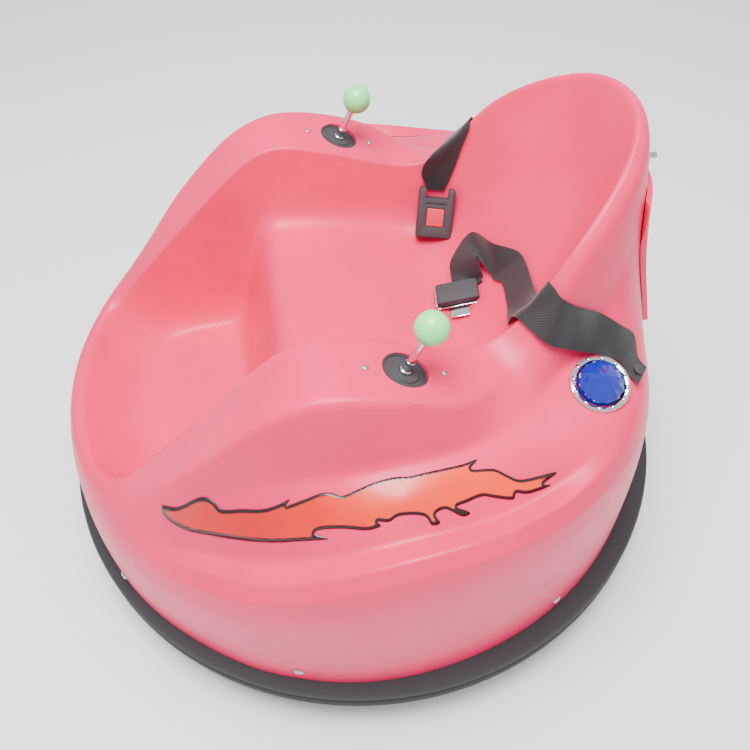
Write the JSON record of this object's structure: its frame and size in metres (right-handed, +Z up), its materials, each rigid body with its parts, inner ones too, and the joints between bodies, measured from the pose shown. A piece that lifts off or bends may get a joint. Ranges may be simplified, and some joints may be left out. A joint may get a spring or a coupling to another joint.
{
  "type": "child's two-joystick bumper car",
  "caption": "Round child's bumper car: a moulded bucket-seat tub on a rubber-ringed frame with two drive wheels, casters, two joysticks, lamps and a lap belt.",
  "frame": {"origin": "on the floor under the middle of the rubber ring", "axes": "+Z up, the front faces -Y, the driver's left is +X"},
  "size_m": [0.818, 0.818, 0.5564],
  "materials": {
    "shell_plastic": "semi-gloss moulded",
    "ring_rubber": "matt extruded rubber",
    "black_plastic": "fine grained",
    "bright_steel": "polished",
    "zinc_steel": "zinc plated",
    "painted_steel": "semi-matt black paint",
    "green_plastic": "gloss",
    "blue_lens": "clear faceted",
    "tyre_rubber": "matt",
    "grey_plastic": "moulded",
    "red_plastic": "gloss",
    "belt_webbing": "woven polyester"
  },
  "bodies": {
    "chassis": {"battery": "black_plastic", "battery_tray": "painted_steel", "belt_anchor_left": "black_plastic", "belt_anchor_right": "black_plastic", "belt_buckle": "black_plastic", "belt_tongue": "bright_steel", "belt_webbing_left": "belt_webbing", "belt_webbing_right": "belt_webbing", "body_shell": "shell_plastic", "buckle_button": "red_plastic", "bumper_ring": "ring_rubber", "caster_plate_front": "zinc_steel", "caster_plate_rear": "zinc_steel", "controller_box": "painted_steel", "frame_hoop": "painted_steel", "frame_ladder": "painted_steel", "gearmotor_left": "painted_steel", "gearmotor_right": "painted_steel", "hatch_hinge_fixed": "zinc_steel", "joystick_ball_left": "green_plastic", "joystick_ball_right": "green_plastic", "joystick_shaft_left": "bright_steel", "joystick_shaft_right": "bright_steel", "joystick_unit_left": "black_plastic", "joystick_unit_right": "black_plastic", "lamp_base_left": "bright_steel", "lamp_base_right": "bright_steel", "lamp_lens_left": "blue_lens", "lamp_lens_right": "blue_lens", "motor_plate_left": "painted_steel", "motor_plate_right": "painted_steel"},
    "wheel_left": {"drive_tyre_left": "tyre_rubber", "drive_hub_left": "grey_plastic"},
    "wheel_right": {"drive_tyre_right": "tyre_rubber", "drive_hub_right": "grey_plastic"},
    "caster_front": {"caster_fork_front": "zinc_steel", "caster_axle_front": "zinc_steel"},
    "caster_rear": {"caster_fork_rear": "zinc_steel", "caster_axle_rear": "zinc_steel"},
    "caster_roller_front": {"caster_wheel_front": "black_plastic"},
    "caster_roller_rear": {"caster_wheel_rear": "black_plastic"},
    "hatch": {"rear_hatch": "shell_plastic", "hatch_hinge_lid": "zinc_steel", "hatch_latch": "zinc_steel"}
  },
  "joints": [
    {"name": "wheel_left_spin", "type": "hinge", "parent": "chassis", "child": "wheel_left", "pos_m": [0.252, 0, 0.08], "axis": [1, 0, 0], "continuous": true},
    {"name": "wheel_right_spin", "type": "hinge", "parent": "chassis", "child": "wheel_right", "pos_m": [-0.252, 0, 0.08], "axis": [1, 0, 0], "continuous": true},
    {"name": "caster_front_swivel", "type": "hinge", "parent": "chassis", "child": "caster_front", "pos_m": [0, -0.275, 0.1], "axis": [0, 0, 1], "continuous": true},
    {"name": "caster_front_roll", "type": "hinge", "parent": "caster_front", "child": "caster_roller_front", "pos_m": [0, -0.245, 0.038], "axis": [1, 0, 0], "continuous": true},
    {"name": "caster_rear_swivel", "type": "hinge", "parent": "chassis", "child": "caster_rear", "pos_m": [0, 0.275, 0.1], "axis": [0, 0, 1], "continuous": true},
    {"name": "caster_rear_roll", "type": "hinge", "parent": "caster_rear", "child": "caster_roller_rear", "pos_m": [0, 0.305, 0.038], "axis": [1, 0, 0], "continuous": true},
    {"name": "hatch_hinge", "type": "hinge", "parent": "chassis", "child": "hatch", "pos_m": [0, 0.3665, 0.301], "axis": [-1, 0, 0], "range_deg": [0, 100]}
  ]
}
